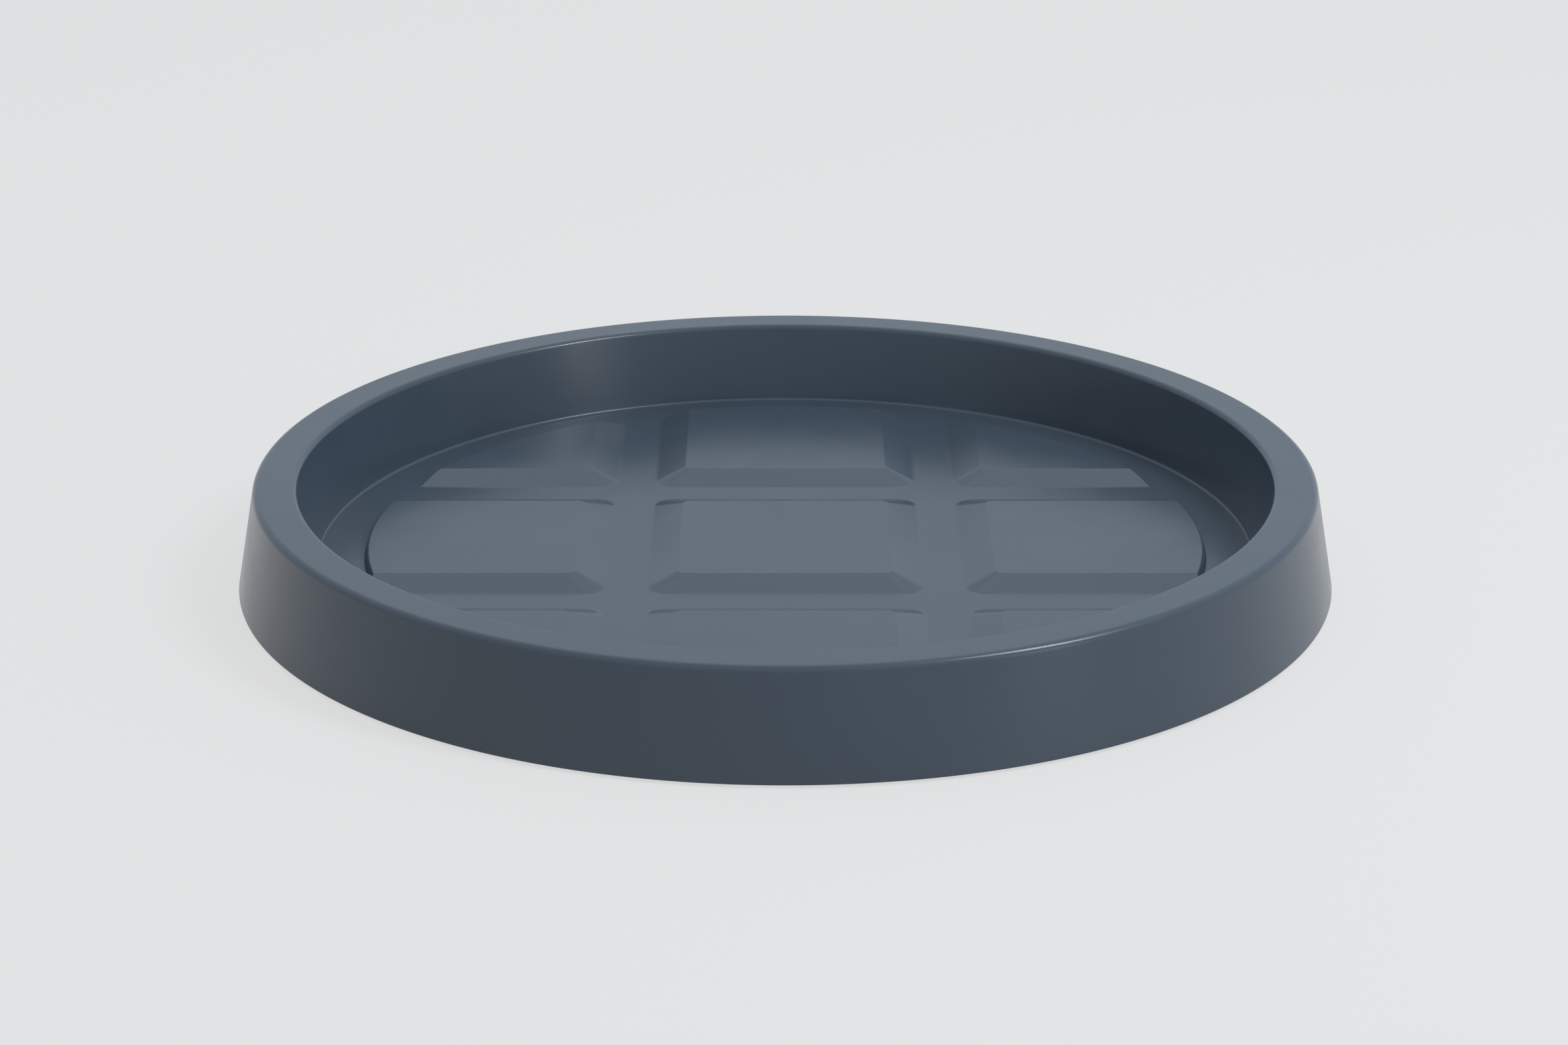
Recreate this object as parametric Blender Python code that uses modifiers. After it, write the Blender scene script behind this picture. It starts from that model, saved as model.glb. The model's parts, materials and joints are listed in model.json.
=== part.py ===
"""Plant saucer: a round moulded saucer with nine raised pads, standing on push-in rubber feet.

Metres, +Z up. The origin is on the ground, on the saucer's axis, and the grid of pads
lies along X and Y.
"""

import math

import bmesh
import bpy
from mathutils import Matrix, Vector

# Driving dimensions: the outside of the moulding
BASE_DIAMETER = 0.400  # skirt, across its lower edge
RIM_HEIGHT = 0.0384  # from the skirt's lower edge up to the top of the rim
SKIRT_LEAN = 0.0068  # how far the skirt leans in on its way up
RIM_WIDTH = 0.0155  # flat rim, between its unrounded edges
RIM_OUTER_ROUNDING = 0.0027
RIM_INNER_ROUNDING = 0.0021
SKIRT_EDGE_ROUNDING = 0.0006

# Driving dimensions: the inside of the dish
WALL_LEAN = 0.0061  # how far the inner wall leans in on its way down
FLOOR_HEIGHT = 0.0084  # from the skirt's lower edge up to the floor of the trough
FLOOR_FILLET = 0.0012
TROUGH_WIDTH = 0.0175  # flat ring between the inner wall and the pads
PAD_RISE = 0.0037
PAD_EDGE_RUN = 0.0010  # steep round side of the pads, measured across
PAD_SLOPE_RUN = 0.0111  # sloping straight side of a pad, measured across
PAD_CORNER_RADIUS = 0.0030  # corners of a pad's flat top, in plan
PAD_FOOT_CORNER_RADIUS = 0.0080  # corners of a pad at the floor, in plan
CHANNEL_OFFSET = 0.0570  # from the saucer's axis to the middle of each straight channel
CHANNEL_WIDTH = 0.0146  # flat bottom of a channel

# Driving dimensions: the hollow underside
WALL_THICKNESS = 0.0026
FLOOR_THICKNESS = 0.0026
PAD_CORE_INSET = 0.0020  # keeps full wall thickness behind the steep round side of the pads
RIB_THICKNESS = 0.0020
RIB_PITCH = 0.0383
RING_RIB_INSET = 0.0040  # from the foot of the inner wall in to the round rib
GUSSET_COUNT = 32

# Driving dimensions: the rubber feet
STAND_OFF = 0.0010  # the feet carry the skirt this far off the ground
FOOT_HEAD_DIAMETER = 0.0160
FOOT_HEAD_HEIGHT = 0.0030
FOOT_EDGE_ROUNDING = 0.0008
FOOT_STEM_DIAMETER = 0.0074
FOOT_STEM_LENGTH = 0.0050
FOOT_STEM_CHAMFER = 0.0008
BOSS_DIAMETER = 0.0140
SEAT_CLEARANCE = 0.0003  # between a foot and the boss and socket that hold it
POCKET_CLEARANCE = 0.0010  # around a foot's head, where the ribs are cut away

# How finely round shapes are stepped
TURN_STEPS = 72
FOOT_STEPS = 20
FILLET_STEPS = 3
CORNER_STEPS = 4

# Cutters reach this far past what they cut, joined shapes this far into each other,
# and points of a turned shape merge on its axis within this distance
OVERCUT = 0.0020
JOIN_DEPTH = 0.0006
MERGE_DISTANCE = 0.00001

# Heights above the ground
SKIRT_Z = STAND_OFF
RIM_Z = SKIRT_Z + RIM_HEIGHT
FLOOR_Z = SKIRT_Z + FLOOR_HEIGHT
PAD_Z = FLOOR_Z + PAD_RISE
UNDERSIDE_Z = FLOOR_Z - FLOOR_THICKNESS
BOSS_Z = FOOT_HEAD_HEIGHT + SEAT_CLEARANCE
HOLLOW_Z = SKIRT_Z - OVERCUT
RIB_CUT_Z = HOLLOW_Z - OVERCUT

# Radii from the saucer's axis
BASE_RADIUS = BASE_DIAMETER / 2
RIM_OUTER_RADIUS = BASE_RADIUS - SKIRT_LEAN
RIM_INNER_RADIUS = RIM_OUTER_RADIUS - RIM_WIDTH
FLOOR_RADIUS = RIM_INNER_RADIUS - WALL_LEAN
PAD_FIELD_RADIUS = FLOOR_RADIUS - TROUGH_WIDTH
RING_RIB_RADIUS = FLOOR_RADIUS - RING_RIB_INSET

# Finishes: linear colours and roughness
SLATE = (0.058, 0.085, 0.118, 1.0)
SLATE_ROUGHNESS = 0.35
RUBBER_BLACK = (0.022, 0.022, 0.024, 1.0)
RUBBER_ROUGHNESS = 0.75


def clear_scene():
    """Removes whatever the scene already holds."""
    for old in list(bpy.data.objects):
        bpy.data.objects.remove(old, do_unlink=True)


def make_collection(name):
    collection = bpy.data.collections.new(name)
    bpy.context.scene.collection.children.link(collection)
    return collection


def make_material(name, colour, roughness):
    material = bpy.data.materials.new(name)
    material.use_nodes = True
    shader = material.node_tree.nodes["Principled BSDF"]
    shader.inputs["Base Color"].default_value = colour
    shader.inputs["Roughness"].default_value = roughness
    return material


def add_object(name, mesh, collection):
    made = bpy.data.objects.new(name, mesh)
    collection.objects.link(made)
    return made


def add_cutter(name, mesh):
    """A shape that only cuts or fills another one."""
    cutter = add_object(name, mesh, CUTTERS)
    cutter.hide_render = True
    cutter.display_type = "WIRE"
    return cutter


def rounded(before, corner, after, radius):
    """Arc points that round one corner of a profile."""
    corner = Vector(corner)
    back = (Vector(before) - corner).normalized()
    ahead = (Vector(after) - corner).normalized()
    half_angle = back.angle(ahead) / 2
    middle = corner + (back + ahead).normalized() * (radius / math.sin(half_angle))
    tangent = radius / math.tan(half_angle)
    start = corner + back * tangent - middle
    end = corner + ahead * tangent - middle
    turns = [step / FILLET_STEPS for step in range(FILLET_STEPS + 1)]
    return [middle + start.slerp(end, turn) * radius for turn in turns]


def profile_mesh(name, points, closed=False):
    """A chain of edges in the XZ plane, from radius and height pairs."""
    mesh = bpy.data.meshes.new(name)
    edges = [(i, i + 1) for i in range(len(points) - 1)]
    if closed:
        edges.append((len(points) - 1, 0))
    mesh.from_pydata([(radius, 0.0, height) for radius, height in points], edges, [])
    return mesh


def turn(turned, steps):
    """Turns an object's profile around its Z axis."""
    screw = turned.modifiers.new("Turn", "SCREW")
    screw.steps = steps
    screw.render_steps = steps
    screw.use_merge_vertices = True
    screw.merge_threshold = MERGE_DISTANCE
    return turned


def combine(target, operation, other, solver="EXACT"):
    """Adds or cuts another closed shape."""
    boolean = target.modifiers.new(f"{operation.title()} {other.name}", "BOOLEAN")
    boolean.operation = operation
    boolean.solver = solver
    boolean.object = other


def box_mesh(name, placings):
    """Separate boxes in one mesh, each a unit cube placed by its own matrix."""
    shape = bmesh.new()
    for placing in placings:
        bmesh.ops.create_cube(shape, size=1.0, matrix=placing)
    return finish_mesh(name, shape)


def cylinder_mesh(name, places, diameter, bottom, top):
    """Separate upright cylinders in one mesh."""
    shape = bmesh.new()
    for x, y in places:
        bmesh.ops.create_cone(
            shape,
            cap_ends=True,
            segments=FOOT_STEPS,
            radius1=diameter / 2,
            radius2=diameter / 2,
            depth=top - bottom,
            matrix=Matrix.Translation((x, y, (bottom + top) / 2)),
        )
    return finish_mesh(name, shape)


def finish_mesh(name, shape):
    mesh = bpy.data.meshes.new(name)
    shape.to_mesh(mesh)
    shape.free()
    return mesh


def box_between(low, high):
    """Places a unit cube between two corners."""
    low = Vector(low)
    high = Vector(high)
    return Matrix.Translation((low + high) / 2) @ Matrix.Diagonal((high - low).to_4d())


def envelope():
    """The dish as a solid: floor, inner wall, rim and skirt, with nothing hollow below."""
    floor_middle = (0.0, FLOOR_Z)
    wall_foot = (FLOOR_RADIUS, FLOOR_Z)
    rim_inside = (RIM_INNER_RADIUS, RIM_Z)
    rim_outside = (RIM_OUTER_RADIUS, RIM_Z)
    skirt_edge = (BASE_RADIUS, SKIRT_Z)
    base_middle = (0.0, SKIRT_Z)
    points = [
        floor_middle,
        *rounded(floor_middle, wall_foot, rim_inside, FLOOR_FILLET),
        *rounded(wall_foot, rim_inside, rim_outside, RIM_INNER_ROUNDING),
        *rounded(rim_inside, rim_outside, skirt_edge, RIM_OUTER_ROUNDING),
        *rounded(rim_outside, skirt_edge, base_middle, SKIRT_EDGE_ROUNDING),
        base_middle,
    ]
    return profile_mesh("saucer_body", points)


def pad_spans():
    """Where the flat tops of the pads lie along X, and likewise along Y."""
    middle = CHANNEL_OFFSET - CHANNEL_WIDTH / 2 - PAD_SLOPE_RUN
    side = CHANNEL_OFFSET + CHANNEL_WIDTH / 2 + PAD_SLOPE_RUN
    return [(-BASE_DIAMETER, -side), (-middle, middle), (side, BASE_DIAMETER)]


def pad_outline(span_x, span_y, spread):
    """A pad's outline in plan, spread outwards from its flat top, with rounded corners."""
    share = spread / PAD_SLOPE_RUN
    radius = PAD_CORNER_RADIUS + share * (PAD_FOOT_CORNER_RADIUS - PAD_CORNER_RADIUS)
    inset = radius - spread
    points = []
    for number, (side_x, side_y) in enumerate(((1, 1), (0, 1), (0, 0), (1, 0))):
        middle_x = span_x[side_x] + (inset if side_x == 0 else -inset)
        middle_y = span_y[side_y] + (inset if side_y == 0 else -inset)
        for step in range(CORNER_STEPS + 1):
            angle = (number + step / CORNER_STEPS) * math.pi / 2
            points.append((middle_x + radius * math.cos(angle), middle_y + radius * math.sin(angle)))
    return points


def pad_blocks(name, floor_z):
    """Nine blocks with sloping sides, parted by the straight channels."""
    slope = PAD_SLOPE_RUN / PAD_RISE
    top_spread = -slope * JOIN_DEPTH
    bottom_spread = PAD_SLOPE_RUN + slope * 2 * JOIN_DEPTH
    shape = bmesh.new()
    for span_x in pad_spans():
        for span_y in pad_spans():
            levels = (
                (top_spread, floor_z + PAD_RISE + JOIN_DEPTH),
                (bottom_spread, floor_z - 2 * JOIN_DEPTH),
            )
            top, bottom = [
                [shape.verts.new((x, y, height)) for x, y in pad_outline(span_x, span_y, spread)]
                for spread, height in levels
            ]
            shape.faces.new(top)
            shape.faces.new(reversed(bottom))
            for i in range(len(top)):
                shape.faces.new((top[i - 1], bottom[i - 1], bottom[i], top[i]))
    return add_cutter(name, finish_mesh(name, shape))


def pad_field(name, floor_z, radius):
    """Nine pads: a low turned disc, kept only where the blocks are."""
    top = floor_z + PAD_RISE
    sunk = floor_z - JOIN_DEPTH
    points = [(0.0, top), (radius - PAD_EDGE_RUN, top), (radius, floor_z), (radius, sunk), (0.0, sunk)]
    field = turn(add_cutter(name, profile_mesh(name, points)), TURN_STEPS)
    combine(field, "INTERSECT", pad_blocks(f"{name}_blocks", floor_z))
    return field


def straight_ribs(name, quarter):
    """Parallel ribs under the floor, each ending in the round rib."""
    count = int((RING_RIB_RADIUS - RIB_THICKNESS) / RIB_PITCH)
    placings = []
    for number in range(-count, count + 1):
        middle = number * RIB_PITCH
        half_length = math.sqrt(RING_RIB_RADIUS**2 - middle**2)
        low = (-half_length, middle - RIB_THICKNESS / 2, RIB_CUT_Z)
        high = (half_length, middle + RIB_THICKNESS / 2, PAD_Z)
        placings.append(Matrix.Rotation(quarter, 4, "Z") @ box_between(low, high))
    return add_cutter(name, box_mesh(name, placings))


def round_rib():
    """Ring under the trough that the straight ribs and the gussets run into."""
    inside = RING_RIB_RADIUS - RIB_THICKNESS / 2
    outside = RING_RIB_RADIUS + RIB_THICKNESS / 2
    points = [(inside, FLOOR_Z), (outside, FLOOR_Z), (outside, RIB_CUT_Z), (inside, RIB_CUT_Z)]
    return turn(add_cutter("round_rib", profile_mesh("round_rib", points, closed=True)), TURN_STEPS)


def gussets():
    """Upright webs inside the hollow rim, from the round rib out to the skirt."""
    low = (RING_RIB_RADIUS, -RIB_THICKNESS / 2, RIB_CUT_Z)
    high = (BASE_RADIUS, RIB_THICKNESS / 2, RIM_Z)
    step = 2 * math.pi / GUSSET_COUNT
    angles = [(number + 0.5) * step for number in range(GUSSET_COUNT)]
    placings = [Matrix.Rotation(angle, 4, "Z") @ box_between(low, high) for angle in angles]
    return add_cutter("gussets", box_mesh("gussets", placings))


def foot_places():
    """Where the feet stand: on the crossings of the ribs nearest the middle of each pad."""
    pad_inside = CHANNEL_OFFSET + CHANNEL_WIDTH / 2 + PAD_SLOPE_RUN
    pad_outside = PAD_FIELD_RADIUS - PAD_EDGE_RUN
    side = round((pad_inside + pad_outside) / 2 / RIB_PITCH) * RIB_PITCH
    diagonal = (pad_inside + pad_outside * math.sqrt(0.5)) / 2
    corner = round(diagonal / RIB_PITCH) * RIB_PITCH
    return {
        "foot_centre": (0.0, 0.0),
        "foot_front": (0.0, -side),
        "foot_back": (0.0, side),
        "foot_left": (-side, 0.0),
        "foot_right": (side, 0.0),
        "foot_front_left": (-corner, -corner),
        "foot_front_right": (corner, -corner),
        "foot_back_left": (-corner, corner),
        "foot_back_right": (corner, corner),
    }


def hollow(places):
    """The space under the dish: everything that is air between the skirt, floor, ribs and bosses."""
    wall_slope = WALL_LEAN / (RIM_Z - FLOOR_Z)
    skirt_slope = SKIRT_LEAN / RIM_HEIGHT
    wall_across = WALL_THICKNESS * math.hypot(1.0, wall_slope)
    skirt_across = WALL_THICKNESS * math.hypot(1.0, skirt_slope)
    ceiling_z = RIM_Z - WALL_THICKNESS
    wall_back_foot = FLOOR_RADIUS + wall_across - wall_slope * FLOOR_THICKNESS
    wall_back_top = RIM_INNER_RADIUS + wall_across - wall_slope * WALL_THICKNESS
    skirt_back_top = RIM_OUTER_RADIUS - skirt_across + skirt_slope * WALL_THICKNESS
    skirt_back_foot = BASE_RADIUS - skirt_across + skirt_slope * OVERCUT
    points = [
        (0.0, UNDERSIDE_Z),
        (wall_back_foot, UNDERSIDE_Z),
        (wall_back_top, ceiling_z),
        (skirt_back_top, ceiling_z),
        (skirt_back_foot, HOLLOW_Z),
        (0.0, HOLLOW_Z),
    ]
    space = turn(add_cutter("hollow", profile_mesh("hollow", points)), TURN_STEPS)

    socket_diameter = FOOT_STEM_DIAMETER + 2 * SEAT_CLEARANCE
    socket_top = FOOT_HEAD_HEIGHT + FOOT_STEM_LENGTH + SEAT_CLEARANCE
    pocket_diameter = FOOT_HEAD_DIAMETER + 2 * POCKET_CLEARANCE
    bosses = cylinder_mesh("bosses", places, BOSS_DIAMETER, RIB_CUT_Z, RIM_Z)
    pockets = cylinder_mesh("pockets", places, pocket_diameter, HOLLOW_Z + JOIN_DEPTH, BOSS_Z)
    sockets = cylinder_mesh("sockets", places, socket_diameter, SKIRT_Z, socket_top)

    # The exact solver loses cells where this many ribs cross
    steps = [
        ("UNION", pad_field("pad_cores", UNDERSIDE_Z, PAD_FIELD_RADIUS - PAD_CORE_INSET)),
        ("DIFFERENCE", straight_ribs("ribs_along_x", 0.0)),
        ("DIFFERENCE", straight_ribs("ribs_along_y", math.pi / 2)),
        ("DIFFERENCE", round_rib()),
        ("DIFFERENCE", gussets()),
        ("DIFFERENCE", add_cutter("bosses", bosses)),
        ("UNION", add_cutter("pockets", pockets)),
        ("UNION", add_cutter("sockets", sockets)),
    ]
    for operation, shape in steps:
        combine(space, operation, shape, "MANIFOLD")
    return space


def saucer_body(places, material):
    """The moulding: the dish with its pads, hollowed out from below."""
    body = turn(add_object("saucer_body", envelope(), PARTS), TURN_STEPS)
    body.data.materials.append(material)
    combine(body, "UNION", pad_field("pads", FLOOR_Z, PAD_FIELD_RADIUS))
    combine(body, "DIFFERENCE", hollow(places), "MANIFOLD")
    return body


def foot_mesh(material):
    """A rubber foot: a flat head that stands on the ground, and a stem for its socket."""
    head_radius = FOOT_HEAD_DIAMETER / 2
    stem_radius = FOOT_STEM_DIAMETER / 2
    stem_top = FOOT_HEAD_HEIGHT + FOOT_STEM_LENGTH
    sole_middle = (0.0, 0.0)
    sole_edge = (head_radius, 0.0)
    head_edge = (head_radius, FOOT_HEAD_HEIGHT)
    points = [
        (0.0, stem_top),
        (stem_radius - FOOT_STEM_CHAMFER, stem_top),
        (stem_radius, stem_top - FOOT_STEM_CHAMFER),
        (stem_radius, FOOT_HEAD_HEIGHT),
        head_edge,
        *rounded(head_edge, sole_edge, sole_middle, FOOT_EDGE_ROUNDING),
        sole_middle,
    ]
    mesh = profile_mesh("foot", points)
    mesh.materials.append(material)
    return mesh


def build():
    origin = add_object("plant_saucer_origin", None, PARTS)
    slate = make_material("slate_plastic", SLATE, SLATE_ROUGHNESS)
    rubber = make_material("black_rubber", RUBBER_BLACK, RUBBER_ROUGHNESS)
    places = foot_places()
    body = saucer_body(places.values(), slate)
    body.parent = origin
    shared_foot = foot_mesh(rubber)
    for name, (x, y) in places.items():
        foot = turn(add_object(name, shared_foot, PARTS), FOOT_STEPS)
        foot.location = (x, y, 0.0)
        foot.parent = origin


clear_scene()
PARTS = make_collection("plant_saucer")
CUTTERS = make_collection("plant_saucer_cutters")
build()
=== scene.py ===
"""Looks of the plant saucer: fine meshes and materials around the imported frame, light and camera."""

import json
import math

import bmesh
import bpy
from mathutils import Matrix, Vector

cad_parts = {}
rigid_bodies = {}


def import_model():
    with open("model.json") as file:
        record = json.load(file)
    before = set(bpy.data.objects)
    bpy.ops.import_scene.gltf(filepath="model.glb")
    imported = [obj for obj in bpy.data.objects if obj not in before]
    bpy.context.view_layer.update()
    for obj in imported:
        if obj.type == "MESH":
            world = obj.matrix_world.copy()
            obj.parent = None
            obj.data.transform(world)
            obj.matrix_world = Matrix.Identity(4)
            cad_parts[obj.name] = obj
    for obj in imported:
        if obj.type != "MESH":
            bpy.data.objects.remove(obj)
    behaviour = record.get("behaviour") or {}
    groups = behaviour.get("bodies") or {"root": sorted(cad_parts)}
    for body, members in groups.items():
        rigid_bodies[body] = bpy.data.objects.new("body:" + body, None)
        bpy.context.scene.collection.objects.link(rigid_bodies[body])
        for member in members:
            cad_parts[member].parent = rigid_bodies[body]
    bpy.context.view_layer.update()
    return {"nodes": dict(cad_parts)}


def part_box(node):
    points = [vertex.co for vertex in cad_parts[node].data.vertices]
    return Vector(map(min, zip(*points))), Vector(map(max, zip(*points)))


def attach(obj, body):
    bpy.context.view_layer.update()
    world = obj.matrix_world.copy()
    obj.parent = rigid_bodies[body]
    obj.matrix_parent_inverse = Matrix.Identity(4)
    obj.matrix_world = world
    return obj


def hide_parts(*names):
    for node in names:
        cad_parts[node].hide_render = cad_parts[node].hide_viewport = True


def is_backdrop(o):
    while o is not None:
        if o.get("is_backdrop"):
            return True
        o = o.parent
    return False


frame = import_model()
BODY_LOW, BODY_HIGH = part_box("saucer_body")
FOOT_NODES = sorted(name for name in frame["nodes"] if name.startswith("foot_"))

# Outside of the moulding, in metres
BASE_RADIUS = (BODY_HIGH.x - BODY_LOW.x) / 2
SKIRT_Z = BODY_LOW.z
RIM_Z = BODY_HIGH.z
SKIRT_LEAN = 0.0068
RIM_WIDTH = 0.0155
RIM_OUTER_ROUNDING = 0.0027
RIM_INNER_ROUNDING = 0.0021
SKIRT_EDGE_ROUNDING = 0.0006
RIM_OUTER_RADIUS = BASE_RADIUS - SKIRT_LEAN
RIM_INNER_RADIUS = RIM_OUTER_RADIUS - RIM_WIDTH

# Inside of the dish
WALL_LEAN = 0.0061
FLOOR_HEIGHT = 0.0084
FLOOR_FILLET = 0.0012
TROUGH_WIDTH = 0.0175
PAD_RISE = 0.0037
PAD_EDGE_RUN = 0.0010
PAD_SLOPE_RUN = 0.0111
PAD_CORNER_RADIUS = 0.0030
PAD_FOOT_CORNER_RADIUS = 0.0080
PAD_ROUNDING = 0.0012
PAD_FOOT_FILLET = 0.0060
PAD_EDGE_ROUNDING = 0.0010
PAD_EDGE_FILLET = 0.0005
CHANNEL_OFFSET = 0.0570
CHANNEL_WIDTH = 0.0146
FLOOR_Z = SKIRT_Z + FLOOR_HEIGHT
FLOOR_RADIUS = RIM_INNER_RADIUS - WALL_LEAN
PAD_FIELD_RADIUS = FLOOR_RADIUS - TROUGH_WIDTH

# Hollow underside
WALL_THICKNESS = 0.0026
FLOOR_THICKNESS = 0.0026
UNDERSIDE_Z = FLOOR_Z - FLOOR_THICKNESS
PAD_CORE_INSET = 0.0020
RIB_THICKNESS = 0.0020
RIB_PITCH = 0.0383
RING_RIB_INSET = 0.0040
RING_RIB_RADIUS = FLOOR_RADIUS - RING_RIB_INSET
GUSSET_COUNT = 32

# Rubber feet
FOOT_HEAD_HEIGHT = 0.0030
FOOT_HEAD_RADIUS = 0.0080
FOOT_STEM_RADIUS = 0.0037
FOOT_TOP_Z = 0.0080
FOOT_ROUNDING = 0.0008
FOOT_GROOVE_RADII = (0.0032, 0.0055)
FOOT_GROOVE_WIDTH = 0.0010
FOOT_GROOVE_DEPTH = 0.0005
SEAT_CLEARANCE = 0.0003
POCKET_CLEARANCE = 0.0010
BOSS_RADIUS = 0.0070
BOSS_Z = FOOT_HEAD_HEIGHT + SEAT_CLEARANCE

# How finely round shapes are stepped, how far joined shapes overlap, and what is sharp
TURN_STEPS = 288
FOOT_STEPS = 64
FILLET_STEPS = 10
CORNER_STEPS = 12
OVERCUT = 0.0020
JOIN_DEPTH = 0.0006
SINK = 0.00001
MERGE_DISTANCE = 0.00001
HOLLOW_Z = SKIRT_Z - OVERCUT
RIB_CUT_Z = HOLLOW_Z - OVERCUT
SHARP_ANGLE = math.radians(24)

# Finishes: linear colours
SLATE_LIGHT = (0.061, 0.089, 0.123, 1.0)
SLATE_DARK = (0.055, 0.081, 0.112, 1.0)
RUBBER_LIGHT = (0.026, 0.026, 0.028, 1.0)
RUBBER_DARK = (0.016, 0.016, 0.017, 1.0)

# Noise patterns of the finishes: scale, detail and roughness
SLATE_MOTTLING = (14.0, 5.0, 0.6)
SLATE_GLOSS = (55.0, 3.0, 0.5)
SLATE_WAVES = (24.0, 2.0, 0.5)
SLATE_GRAIN = (1600.0, 2.0, 0.5)
RUBBER_DUST = (160.0, 4.0, 0.6)
RUBBER_GLOSS = (300.0, 3.0, 0.5)
RUBBER_GRAIN = (2400.0, 2.0, 0.5)

# The part of a noise's range that the ramps spread out
NOISE_LOW = 0.3
NOISE_HIGH = 0.7

# The least and most roughness, and the height in metres and strength of each bump
SLATE_ROUGHNESS = (0.22, 0.27)
RUBBER_ROUGHNESS = (0.66, 0.82)
SLATE_WAVES_BUMP = (0.0004, 0.04)
SLATE_GRAIN_BUMP = (0.00006, 0.10)
RUBBER_GRAIN_BUMP = (0.00010, 0.35)

# The photograph's view: lengths in base radii, from the skirt's lower edge
PHOTO_WIDTH_PX = 2352
PHOTO_FOCAL_PX = 5858
CAMERA_BACK = 6.7446
CAMERA_UP = 2.5411
CAMERA_PITCH = math.radians(19.997)
PHOTO_AXIS_OFFSET_PX = 2.0
SENSOR_WIDTH_MM = 36.0

# Studio
FLOOR_SIZE = 14.0
FLOOR_COLOUR = (0.44, 0.46, 0.48, 1.0)
FLOOR_GLOW = 0.98
FLOOR_GLOW_SHARE = 0.65
BACKDROP = (0.61, 0.69, 0.77, 1.0)
WHITE = (1.0, 1.0, 1.0, 1.0)
COOL = (0.90, 1.0, 1.10, 1.0)

# Broad glows of the studio: axis and side they come from, narrowness, strength and colour
SKY_GLOWS = (
    ("Z", 1.0, 2.0, 0.70, WHITE),
    ("Y", 1.0, 1.0, 0.18, COOL),
    ("Y", 1.0, 5.0, 0.55, COOL),
    ("Y", -1.0, 1.0, 0.16, WHITE),
    ("X", -1.0, 1.0, 0.24, WHITE),
    ("X", 1.0, 1.0, 0.40, COOL),
)

# White lamps: place, width, height and power
SOFTBOXES = {
    "strip_low": ((1.33, -1.04, 0.40), 0.4, 0.8, 1.6),
    "strip_high": ((0.95, -0.33, 1.33), 0.18, 0.6, 8.5),
    "back_high": ((0.0, 1.10, 1.68), 1.2, 0.7, 1.2),
}


def add_object(name, data):
    made = bpy.data.objects.new(name, data)
    bpy.context.scene.collection.objects.link(made)
    return made


def finish_mesh(name, shape):
    mesh = bpy.data.meshes.new(name)
    shape.to_mesh(mesh)
    shape.free()
    return mesh


def rounded(before, corner, after, radius):
    """Arc points that round one corner of a profile."""
    corner = Vector(corner)
    back = (Vector(before) - corner).normalized()
    ahead = (Vector(after) - corner).normalized()
    half_angle = back.angle(ahead) / 2
    middle = corner + (back + ahead).normalized() * (radius / math.sin(half_angle))
    tangent = radius / math.tan(half_angle)
    start = corner + back * tangent - middle
    end = corner + ahead * tangent - middle
    turns = [step / FILLET_STEPS for step in range(FILLET_STEPS + 1)]
    return [middle + start.slerp(end, turn) * radius for turn in turns]


def turned(name, points, steps, closed=False):
    """A shape turned around Z from radius and height pairs."""
    mesh = bpy.data.meshes.new(name)
    edges = [(i, i + 1) for i in range(len(points) - 1)]
    if closed:
        edges.append((len(points) - 1, 0))
    mesh.from_pydata([(radius, 0.0, height) for radius, height in points], edges, [])
    made = add_object(name, mesh)
    screw = made.modifiers.new("Turn", "SCREW")
    screw.steps = steps
    screw.render_steps = steps
    screw.use_merge_vertices = True
    screw.merge_threshold = MERGE_DISTANCE
    return made


def combine(target, operation, other):
    """Adds or cuts another closed shape."""
    boolean = target.modifiers.new(f"{operation.title()} {other.name}", "BOOLEAN")
    boolean.operation = operation
    boolean.solver = "MANIFOLD"
    boolean.object = other


def boxes(name, placings):
    """Separate boxes in one mesh, each a unit cube placed by its own matrix."""
    shape = bmesh.new()
    for placing in placings:
        bmesh.ops.create_cube(shape, size=1.0, matrix=placing)
    return add_object(name, finish_mesh(name, shape))


def box_between(low, high):
    """Places a unit cube between two corners."""
    low = Vector(low)
    high = Vector(high)
    return Matrix.Translation((low + high) / 2) @ Matrix.Diagonal((high - low).to_4d())


def cylinders(name, places, radius, bottom, top):
    """Separate upright cylinders in one mesh."""
    shape = bmesh.new()
    for x, y in places:
        bmesh.ops.create_cone(
            shape,
            cap_ends=True,
            segments=FOOT_STEPS,
            radius1=radius,
            radius2=radius,
            depth=top - bottom,
            matrix=Matrix.Translation((x, y, (bottom + top) / 2)),
        )
    return add_object(name, finish_mesh(name, shape))


def pad_spans():
    """Where the flat tops of the pads lie along X, and likewise along Y."""
    middle = CHANNEL_OFFSET - CHANNEL_WIDTH / 2 - PAD_SLOPE_RUN
    side = CHANNEL_OFFSET + CHANNEL_WIDTH / 2 + PAD_SLOPE_RUN
    return [(-2 * BASE_RADIUS, -side), (-middle, middle), (side, 2 * BASE_RADIUS)]


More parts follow.
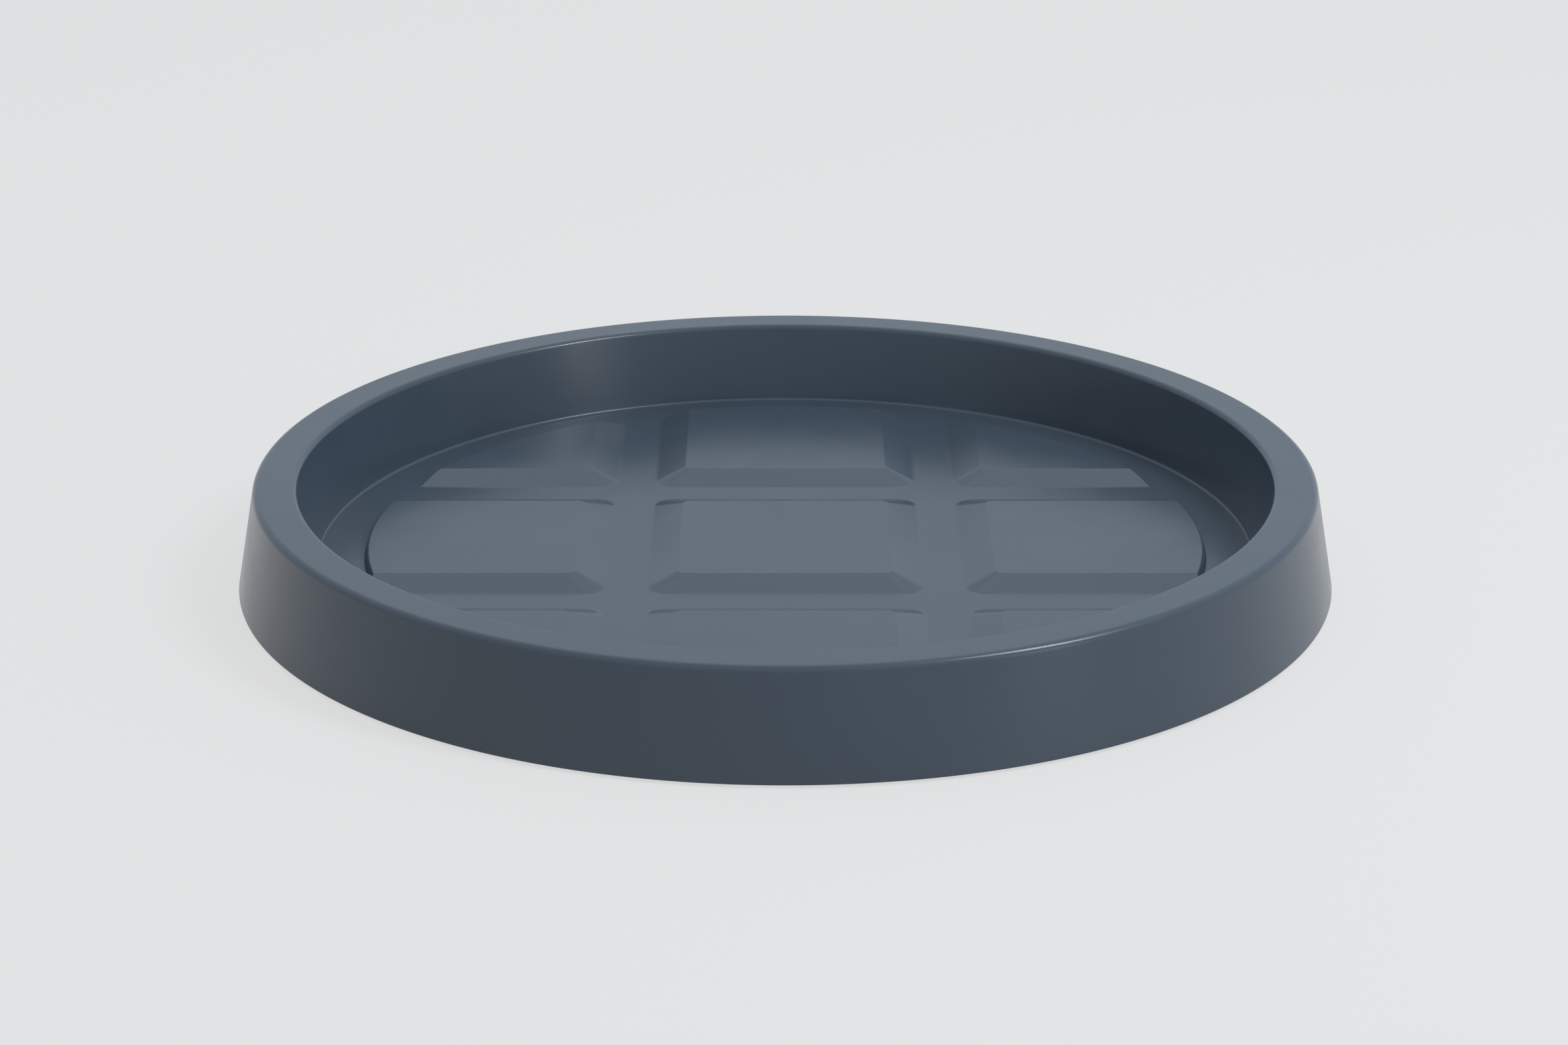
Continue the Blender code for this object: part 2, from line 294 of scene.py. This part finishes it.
def pad_outline(span_x, span_y, spread):
    """A pad's outline in plan, spread outwards from its flat top, with rounded corners."""
    share = spread / PAD_SLOPE_RUN
    radius = PAD_CORNER_RADIUS + share * (PAD_FOOT_CORNER_RADIUS - PAD_CORNER_RADIUS)
    inset = radius - spread
    points = []
    for number, (side_x, side_y) in enumerate(((1, 1), (0, 1), (0, 0), (1, 0))):
        middle_x = span_x[side_x] + (inset if side_x == 0 else -inset)
        middle_y = span_y[side_y] + (inset if side_y == 0 else -inset)
        for step in range(CORNER_STEPS + 1):
            angle = (number + step / CORNER_STEPS) * math.pi / 2
            points.append((middle_x + radius * math.cos(angle), middle_y + radius * math.sin(angle)))
    return points


def pad_profile(floor_z):
    """A pad's sloping side: spread from its flat top, and height."""
    top_middle = (-PAD_SLOPE_RUN, floor_z + PAD_RISE)
    top_edge = (0.0, floor_z + PAD_RISE)
    foot = (PAD_SLOPE_RUN, floor_z)
    channel_middle = (PAD_SLOPE_RUN + CHANNEL_WIDTH / 2, floor_z)
    points = rounded(top_middle, top_edge, foot, PAD_ROUNDING)
    points += rounded(top_edge, foot, channel_middle, PAD_FOOT_FILLET)
    points.append((points[-1].x, floor_z - 2 * JOIN_DEPTH))
    return points


def pad_blocks(name, floor_z):
    """Nine blocks with rounded, sloping sides, parted by the straight channels."""
    shape = bmesh.new()
    for span_x in pad_spans():
        for span_y in pad_spans():
            rings = [
                [shape.verts.new((x, y, height)) for x, y in pad_outline(span_x, span_y, spread)]
                for spread, height in pad_profile(floor_z)
            ]
            shape.faces.new(rings[0])
            shape.faces.new(reversed(rings[-1]))
            for upper, lower in zip(rings, rings[1:]):
                for i in range(len(upper)):
                    shape.faces.new((upper[i - 1], lower[i - 1], lower[i], upper[i]))
    return add_object(name, finish_mesh(name, shape))


def pad_field(name, floor_z, radius):
    """Nine pads: a low turned disc with a rounded edge, kept only where the blocks are."""
    top = floor_z + PAD_RISE
    sunk = floor_z - JOIN_DEPTH
    middle = (0.0, top)
    top_edge = (radius - PAD_EDGE_RUN, top)
    foot = (radius, floor_z - SINK)
    trough = (FLOOR_RADIUS, floor_z - SINK)
    points = [middle, *rounded(middle, top_edge, foot, PAD_EDGE_ROUNDING)]
    points += rounded(top_edge, foot, trough, PAD_EDGE_FILLET)
    points += [(points[-1].x, sunk), (0.0, sunk)]
    field = turned(name, points, TURN_STEPS)
    combine(field, "INTERSECT", pad_blocks(f"{name}_blocks", floor_z - SINK))
    return field


def straight_ribs(name, quarter):
    """Parallel ribs under the floor, each ending in the round rib."""
    count = int((RING_RIB_RADIUS - RIB_THICKNESS) / RIB_PITCH)
    placings = []
    for number in range(-count, count + 1):
        middle = number * RIB_PITCH
        half_length = math.sqrt(RING_RIB_RADIUS**2 - middle**2)
        low = (-half_length, middle - RIB_THICKNESS / 2, RIB_CUT_Z)
        high = (half_length, middle + RIB_THICKNESS / 2, FLOOR_Z + PAD_RISE)
        placings.append(Matrix.Rotation(quarter, 4, "Z") @ box_between(low, high))
    return boxes(name, placings)


def round_rib():
    """Ring under the trough that the straight ribs and the gussets run into."""
    inside = RING_RIB_RADIUS - RIB_THICKNESS / 2
    outside = RING_RIB_RADIUS + RIB_THICKNESS / 2
    points = [(inside, FLOOR_Z), (outside, FLOOR_Z), (outside, RIB_CUT_Z), (inside, RIB_CUT_Z)]
    return turned("round_rib", points, TURN_STEPS, closed=True)


def gussets():
    """Upright webs inside the hollow rim, from the round rib out to the skirt."""
    low = (RING_RIB_RADIUS, -RIB_THICKNESS / 2, RIB_CUT_Z)
    high = (BASE_RADIUS, RIB_THICKNESS / 2, RIM_Z)
    step = 2 * math.pi / GUSSET_COUNT
    angles = [(number + 0.5) * step for number in range(GUSSET_COUNT)]
    placings = [Matrix.Rotation(angle, 4, "Z") @ box_between(low, high) for angle in angles]
    return boxes("gussets", placings)


def hollow(places):
    """The air under the dish, between the skirt, floor, ribs and bosses."""
    wall_slope = WALL_LEAN / (RIM_Z - FLOOR_Z)
    skirt_slope = SKIRT_LEAN / (RIM_Z - SKIRT_Z)
    wall_across = WALL_THICKNESS * math.hypot(1.0, wall_slope)
    skirt_across = WALL_THICKNESS * math.hypot(1.0, skirt_slope)
    ceiling_z = RIM_Z - WALL_THICKNESS
    points = [
        (0.0, UNDERSIDE_Z),
        (FLOOR_RADIUS + wall_across - wall_slope * FLOOR_THICKNESS, UNDERSIDE_Z),
        (RIM_INNER_RADIUS + wall_across - wall_slope * WALL_THICKNESS, ceiling_z),
        (RIM_OUTER_RADIUS - skirt_across + skirt_slope * WALL_THICKNESS, ceiling_z),
        (BASE_RADIUS - skirt_across + skirt_slope * OVERCUT, HOLLOW_Z),
        (0.0, HOLLOW_Z),
    ]
    space = turned("hollow", points, TURN_STEPS)
    pocket_radius = FOOT_HEAD_RADIUS + POCKET_CLEARANCE
    socket_radius = FOOT_STEM_RADIUS + SEAT_CLEARANCE
    socket_top = FOOT_TOP_Z + SEAT_CLEARANCE
    steps = [
        ("UNION", pad_field("pad_cores", UNDERSIDE_Z, PAD_FIELD_RADIUS - PAD_CORE_INSET)),
        ("DIFFERENCE", straight_ribs("ribs_along_x", 0.0)),
        ("DIFFERENCE", straight_ribs("ribs_along_y", math.pi / 2)),
        ("DIFFERENCE", round_rib()),
        ("DIFFERENCE", gussets()),
        ("DIFFERENCE", cylinders("bosses", places, BOSS_RADIUS, RIB_CUT_Z, RIM_Z)),
        ("UNION", cylinders("pockets", places, pocket_radius, SKIRT_Z - OVERCUT / 2, BOSS_Z)),
        ("UNION", cylinders("sockets", places, socket_radius, SKIRT_Z, socket_top)),
    ]
    for operation, shape in steps:
        combine(space, operation, shape)
    return space


def dish():
    """The dish as a solid: floor, inner wall, rim and skirt, with nothing hollow below."""
    floor_middle = (0.0, FLOOR_Z)
    wall_foot = (FLOOR_RADIUS, FLOOR_Z)
    rim_inside = (RIM_INNER_RADIUS, RIM_Z)
    rim_outside = (RIM_OUTER_RADIUS, RIM_Z)
    skirt_edge = (BASE_RADIUS, SKIRT_Z)
    base_middle = (0.0, SKIRT_Z)
    points = [
        floor_middle,
        *rounded(floor_middle, wall_foot, rim_inside, FLOOR_FILLET),
        *rounded(wall_foot, rim_inside, rim_outside, RIM_INNER_ROUNDING),
        *rounded(rim_inside, rim_outside, skirt_edge, RIM_OUTER_ROUNDING),
        *rounded(rim_outside, skirt_edge, base_middle, SKIRT_EDGE_ROUNDING),
        base_middle,
    ]
    return turned("dish", points, TURN_STEPS)


def settle(source, name, material):
    """Makes a modelled shape one plain mesh with smooth faces and true sharp edges."""
    depsgraph = bpy.context.evaluated_depsgraph_get()
    mesh = bpy.data.meshes.new_from_object(source.evaluated_get(depsgraph))
    mesh.name = name
    mesh.materials.clear()
    mesh.materials.append(material)
    mesh.shade_smooth()
    mesh.set_sharp_from_angle(angle=SHARP_ANGLE)
    made = add_object(name, mesh)
    weights = made.modifiers.new("Flat faces stay flat", "WEIGHTED_NORMAL")
    weights.keep_sharp = True
    return made


def saucer_body(places, material):
    """The moulding: the dish with its pads, hollowed out from below."""
    body = dish()
    combine(body, "UNION", pad_field("pads", FLOOR_Z, PAD_FIELD_RADIUS))
    combine(body, "DIFFERENCE", hollow(places))
    shown = settle(body, "saucer_moulding", material)
    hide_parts("saucer_body")
    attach(shown, "root")


def groove(radius):
    """A rounded groove in a foot's sole, from the outside in."""
    half = FOOT_GROOVE_WIDTH / 2
    steps = [math.pi * step / FILLET_STEPS for step in range(FILLET_STEPS + 1)]
    return [(radius + half * math.cos(turn), FOOT_GROOVE_DEPTH * math.sin(turn)) for turn in steps]


def foot_shape():
    """A rubber foot with a grooved sole and a stem."""
    sole_middle = (0.0, 0.0)
    sole_edge = (FOOT_HEAD_RADIUS, 0.0)
    head_edge = (FOOT_HEAD_RADIUS, FOOT_HEAD_HEIGHT)
    head_root = (FOOT_STEM_RADIUS, FOOT_HEAD_HEIGHT)
    stem_edge = (FOOT_STEM_RADIUS, FOOT_TOP_Z)
    stem_middle = (0.0, FOOT_TOP_Z)
    points = [
        stem_middle,
        *rounded(stem_middle, stem_edge, head_root, FOOT_ROUNDING),
        head_root,
        *rounded(head_root, head_edge, sole_edge, FOOT_ROUNDING / 2),
        *rounded(head_edge, sole_edge, sole_middle, FOOT_ROUNDING),
        *groove(max(FOOT_GROOVE_RADII)),
        *groove(min(FOOT_GROOVE_RADII)),
        sole_middle,
    ]
    return turned("foot_shape", points, FOOT_STEPS)


def rubber_feet(places, material):
    """Nine feet, one in each socket."""
    pattern = foot_shape()
    for node, (x, y) in places.items():
        shown = settle(pattern, f"rubber_{node}", material)
        shown.data.transform(Matrix.Translation((x, y, 0.0)))
        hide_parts(node)
        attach(shown, "root")


def foot_places():
    """Each foot's middle, as the frame has it."""
    places = {}
    for node in FOOT_NODES:
        low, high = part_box(node)
        places[node] = ((low.x + high.x) / 2, (low.y + high.y) / 2)
    return places


class Finish:
    """A Principled material under construction, with its nodes in object space."""

    def __init__(self, name):
        self.material = bpy.data.materials.new(name)
        self.material.use_nodes = True
        self.tree = self.material.node_tree
        self.shader = self.tree.nodes["Principled BSDF"]
        self.place = self.tree.nodes.new("ShaderNodeTexCoord").outputs["Object"]

    def noise(self, pattern):
        scale, detail, roughness = pattern
        node = self.tree.nodes.new("ShaderNodeTexNoise")
        node.inputs["Scale"].default_value = scale
        node.inputs["Detail"].default_value = detail
        node.inputs["Roughness"].default_value = roughness
        self.tree.links.new(self.place, node.inputs["Vector"])
        return node.outputs["Fac"]

    def colour(self, fac, dark, light):
        node = self.tree.nodes.new("ShaderNodeValToRGB")
        node.color_ramp.elements[0].position = NOISE_LOW
        node.color_ramp.elements[0].color = dark
        node.color_ramp.elements[1].position = NOISE_HIGH
        node.color_ramp.elements[1].color = light
        self.tree.links.new(fac, node.inputs["Fac"])
        self.tree.links.new(node.outputs["Color"], self.shader.inputs["Base Color"])

    def roughness(self, fac, low, high):
        node = self.tree.nodes.new("ShaderNodeMapRange")
        node.inputs["From Min"].default_value = NOISE_LOW
        node.inputs["From Max"].default_value = NOISE_HIGH
        node.inputs["To Min"].default_value = low
        node.inputs["To Max"].default_value = high
        self.tree.links.new(fac, node.inputs["Value"])
        self.tree.links.new(node.outputs["Result"], self.shader.inputs["Roughness"])

    def bump(self, fac, size, under=None):
        distance, strength = size
        node = self.tree.nodes.new("ShaderNodeBump")
        node.inputs["Distance"].default_value = distance
        node.inputs["Strength"].default_value = strength
        self.tree.links.new(fac, node.inputs["Height"])
        if under is not None:
            self.tree.links.new(under, node.inputs["Normal"])
        self.tree.links.new(node.outputs["Normal"], self.shader.inputs["Normal"])
        return node.outputs["Normal"]


def slate_plastic():
    """Smooth moulded plastic: faint mottling, a satin gloss, slow waves and a very fine grain."""
    finish = Finish("slate_plastic")
    finish.colour(finish.noise(SLATE_MOTTLING), SLATE_DARK, SLATE_LIGHT)
    finish.roughness(finish.noise(SLATE_GLOSS), *SLATE_ROUGHNESS)
    waves = finish.bump(finish.noise(SLATE_WAVES), SLATE_WAVES_BUMP)
    finish.bump(finish.noise(SLATE_GRAIN), SLATE_GRAIN_BUMP, waves)
    return finish.material


def black_rubber():
    """Matte moulded rubber with a dusty, slightly grainy skin."""
    finish = Finish("black_rubber")
    finish.colour(finish.noise(RUBBER_DUST), RUBBER_DARK, RUBBER_LIGHT)
    finish.roughness(finish.noise(RUBBER_GLOSS), *RUBBER_ROUGHNESS)
    finish.bump(finish.noise(RUBBER_GRAIN), RUBBER_GRAIN_BUMP)
    return finish.material


def math_node(tree, operation, first, second):
    """A Math node on two values, each a number or another node's output."""
    node = tree.nodes.new("ShaderNodeMath")
    node.operation = operation
    for socket, value in zip(node.inputs, (first, second)):
        if isinstance(value, float):
            socket.default_value = value
        else:
            tree.links.new(value, socket)
    return node.outputs[0]


def background_rays(tree):
    """1 for rays that show the background: the camera's own, mirrored and refracted ones."""
    rays = tree.nodes.new("ShaderNodeLightPath").outputs
    bent = math_node(tree, "MAXIMUM", rays["Is Glossy Ray"], rays["Is Transmission Ray"])
    return math_node(tree, "MAXIMUM", rays["Is Camera Ray"], bent)


def studio_floor():
    """A wide pale floor that keeps the saucer's shadow."""
    shape = bmesh.new()
    bmesh.ops.create_grid(shape, x_segments=1, y_segments=1, size=FLOOR_SIZE / 2)
    floor = add_object("studio_floor", finish_mesh("studio_floor", shape))
    material = bpy.data.materials.new("studio_floor")
    material.use_nodes = True
    tree = material.node_tree
    tree.nodes.remove(tree.nodes["Principled BSDF"])
    matte = tree.nodes.new("ShaderNodeBsdfDiffuse")
    matte.inputs["Color"].default_value = FLOOR_COLOUR
    glow = tree.nodes.new("ShaderNodeEmission")
    glow.inputs["Color"].default_value = (FLOOR_GLOW, FLOOR_GLOW, FLOOR_GLOW, 1.0)
    share = math_node(tree, "MULTIPLY", background_rays(tree), FLOOR_GLOW_SHARE)
    mix = tree.nodes.new("ShaderNodeMixShader")
    tree.links.new(share, mix.inputs["Fac"])
    tree.links.new(matte.outputs["BSDF"], mix.inputs[1])
    tree.links.new(glow.outputs["Emission"], mix.inputs[2])
    tree.links.new(mix.outputs["Shader"], tree.nodes["Material Output"].inputs["Surface"])
    floor.data.materials.append(material)


def studio_world():
    """Broad soft light, and a plain pale backdrop for the camera and for reflections."""
    world = bpy.data.worlds.new("studio")
    world.use_nodes = True
    bpy.context.scene.world = world
    tree = world.node_tree
    backdrop = tree.nodes["Background"]
    backdrop.inputs["Color"].default_value = BACKDROP
    place = tree.nodes.new("ShaderNodeTexCoord")
    split = tree.nodes.new("ShaderNodeSeparateXYZ")
    tree.links.new(place.outputs["Generated"], split.inputs["Vector"])
    light = None
    for axis, side, narrowness, strength, colour in SKY_GLOWS:
        along = math_node(tree, "MULTIPLY", split.outputs[axis], side)
        facing = math_node(tree, "MAXIMUM", along, 0.0)
        fall_off = math_node(tree, "POWER", facing, narrowness)
        glow = tree.nodes.new("ShaderNodeBackground")
        glow.inputs["Color"].default_value = colour
        tree.links.new(math_node(tree, "MULTIPLY", fall_off, strength), glow.inputs["Strength"])
        if light is None:
            light = glow
        else:
            both = tree.nodes.new("ShaderNodeAddShader")
            tree.links.new(light.outputs[0], both.inputs[0])
            tree.links.new(glow.outputs[0], both.inputs[1])
            light = both
    mix = tree.nodes.new("ShaderNodeMixShader")
    tree.links.new(background_rays(tree), mix.inputs["Fac"])
    tree.links.new(light.outputs[0], mix.inputs[1])
    tree.links.new(backdrop.outputs[0], mix.inputs[2])
    tree.links.new(mix.outputs["Shader"], tree.nodes["World Output"].inputs["Surface"])


def softbox(name, place, width, height, power):
    """A rectangular lamp that faces the saucer, unseen by the camera."""
    lamp = bpy.data.lights.new(name, "AREA")
    lamp.shape = "RECTANGLE"
    lamp.size = width
    lamp.size_y = height
    lamp.energy = power
    box = add_object(name, lamp)
    box.location = place
    box.visible_camera = False
    to_saucer = Vector() - Vector(place)
    box.rotation_euler = to_saucer.to_track_quat("-Z", "Y").to_euler()


def photo_camera():
    """A camera at the photograph's viewing angle."""
    lens = bpy.data.cameras.new("photo_camera")
    lens.sensor_width = SENSOR_WIDTH_MM
    lens.lens = SENSOR_WIDTH_MM * PHOTO_FOCAL_PX / PHOTO_WIDTH_PX
    camera = add_object("photo_camera", lens)
    distance = BASE_RADIUS * math.hypot(CAMERA_BACK, CAMERA_UP)
    sideways = -distance * PHOTO_AXIS_OFFSET_PX / PHOTO_FOCAL_PX
    camera.location = (sideways, -BASE_RADIUS * CAMERA_BACK, SKIRT_Z + BASE_RADIUS * CAMERA_UP)
    camera.rotation_euler = (math.pi / 2 - CAMERA_PITCH, 0.0, 0.0)
    bpy.context.scene.camera = camera


def clear_patterns():
    """Removes the shapes that only cut or made others."""
    for old in list(bpy.data.objects):
        if old.type == "MESH" and old.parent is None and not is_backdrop(old):
            bpy.data.objects.remove(old, do_unlink=True)


bpy.context.scene.view_settings.view_transform = "Standard"
feet = foot_places()
saucer_body(feet.values(), slate_plastic())
rubber_feet(feet, black_rubber())
clear_patterns()
studio_floor()
studio_world()
for lamp_name, lamp_sizes in SOFTBOXES.items():
    softbox(lamp_name, *lamp_sizes)
photo_camera()
